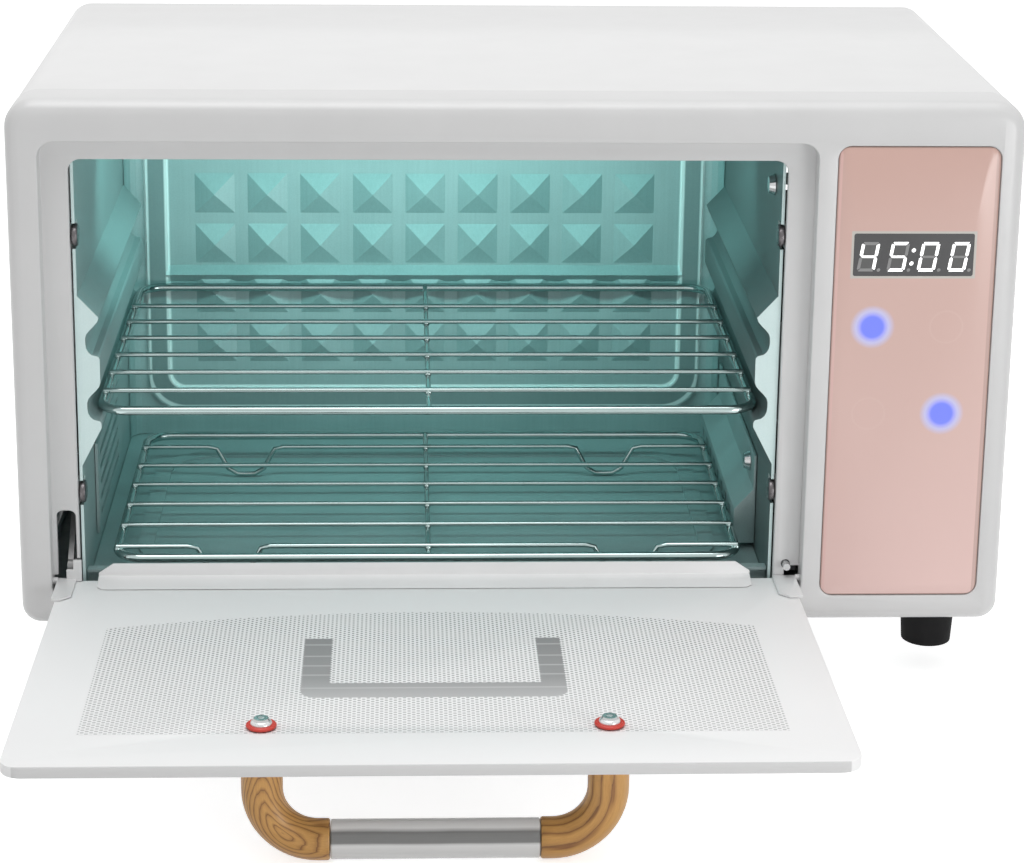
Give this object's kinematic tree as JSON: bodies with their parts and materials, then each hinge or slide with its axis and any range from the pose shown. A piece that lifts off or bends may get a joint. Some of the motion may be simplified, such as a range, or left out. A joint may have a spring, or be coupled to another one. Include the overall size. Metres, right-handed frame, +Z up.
{
  "type": "uv baby bottle sterilizer",
  "caption": "Bench-top UV sterilizing cabinet with a drop-down white glass door, wood-ended bar handle, wire racks and a side control panel.",
  "frame": {"origin": "centre of the bounding box on the plane of the handle's lowest point, door open", "axes": "+X to the right seen from the front, +Y from the front to the back, +Z up"},
  "size_m": [0.4, 0.3936, 0.2476],
  "materials": {
    "bezel_white": "satin",
    "cover_white": "satin",
    "chamber_steel": "brushed",
    "plated_steel": "satin",
    "chrome": "polished",
    "white_glass": "gloss",
    "panel_pink": "gloss",
    "display_black": "gloss",
    "dark_plastic": "matte",
    "circuit_green": "matte",
    "light_guide": "satin",
    "aluminium": "satin",
    "lamp_quartz": "gloss",
    "socket_ceramic": "matte",
    "foot_rubber": "matte",
    "washer_red": "satin",
    "handle_wood": "satin"
  },
  "bodies": {
    "cabinet": {"front_bezel": "bezel_white", "outer_cover": "cover_white", "rear_panel": "cover_white", "chamber_left_wall": "chamber_steel", "chamber_right_wall": "chamber_steel", "chamber_back_wall": "chamber_steel", "chamber_ceiling": "chamber_steel", "chamber_floor_pan": "chamber_steel", "duct_cover": "chamber_steel", "left_vent_grille": "chamber_steel", "base_panel": "plated_steel", "door_spring": "plated_steel", "lamp_clip_left": "plated_steel", "lamp_clip_right": "plated_steel", "opening_screw_low_left": "chrome", "opening_screw_high_left": "chrome", "opening_screw_low_right": "chrome", "opening_screw_high_right": "chrome", "wall_screw_upper": "chrome", "wall_screw_lower": "chrome", "rear_screw_left": "chrome", "rear_screw_right": "chrome", "control_panel": "panel_pink", "display_window": "display_black", "display_module": "dark_plastic", "power_inlet": "dark_plastic", "lamp_ballast": "dark_plastic", "door_switch": "dark_plastic", "fan_frame": "dark_plastic", "control_board": "circuit_green", "power_board": "circuit_green", "touch_key_1": "light_guide", "touch_key_2": "light_guide", "touch_key_3": "light_guide", "touch_key_4": "light_guide", "drying_heater": "aluminium", "lamp_reflector": "aluminium", "lamp_socket_left": "socket_ceramic", "lamp_socket_right": "socket_ceramic", "foot_front_left": "foot_rubber", "foot_front_right": "foot_rubber", "foot_rear_left": "foot_rubber", "foot_rear_right": "foot_rubber"},
    "door": {"door_glass": "white_glass", "door_rail": "cover_white", "hinge_clip_left": "cover_white", "hinge_clip_right": "cover_white", "handle_elbow_left": "handle_wood", "handle_elbow_right": "handle_wood", "handle_bar": "chrome", "handle_screw_left": "chrome", "handle_screw_right": "chrome", "handle_washer_left": "washer_red", "handle_washer_right": "washer_red"},
    "link": {"closing_link": "plated_steel"},
    "plunger": {"switch_plunger": "plated_steel"},
    "upper_shelf": {"upper_rack": "chrome"},
    "lower_shelf": {"lower_rack": "chrome"},
    "lamp": {"uv_lamp": "lamp_quartz"},
    "rotor": {"fan_rotor": "dark_plastic"}
  },
  "joints": [
    {"name": "door_hinge", "type": "hinge", "parent": "cabinet", "child": "door", "pos_m": [0, -0.01617, 0.0468], "axis": [1, 0, 0], "range_deg": [-88.22, 0]},
    {"name": "upper_rack_slide", "type": "slide", "parent": "cabinet", "child": "upper_shelf", "axis": [0, -1, 0], "range_m": [0, 0.165]},
    {"name": "lower_rack_lift", "type": "slide", "parent": "cabinet", "child": "lower_shelf", "axis": [0, 0, 1], "range_m": [0, 0.03]},
    {"name": "lamp_twist", "type": "hinge", "parent": "cabinet", "child": "lamp", "pos_m": [-0.0345, 0.02183, 0.2251], "axis": [1, 0, 0], "range_deg": [0, 90]},
    {"name": "fan_spin", "type": "hinge", "parent": "cabinet", "child": "rotor", "pos_m": [0.1079, 0.08183, 0.0606], "axis": [1, 0, 0], "continuous": true},
    {"name": "link_pivot", "type": "hinge", "parent": "door", "child": "link", "pos_m": [-0.1815, -0.01141, 0.05175], "axis": [1, 0, 0], "range_deg": [0, 90]},
    {"name": "switch_press", "type": "slide", "parent": "cabinet", "child": "plunger", "axis": [0, 1, 0], "range_m": [0, 0.003]}
  ],
  "couplings": [
    {"joint": "link_pivot", "follows": "door_hinge", "ratio": -1},
    {"joint": "switch_press", "follows": "door_hinge", "m_per_rad": -0.0018185}
  ]
}
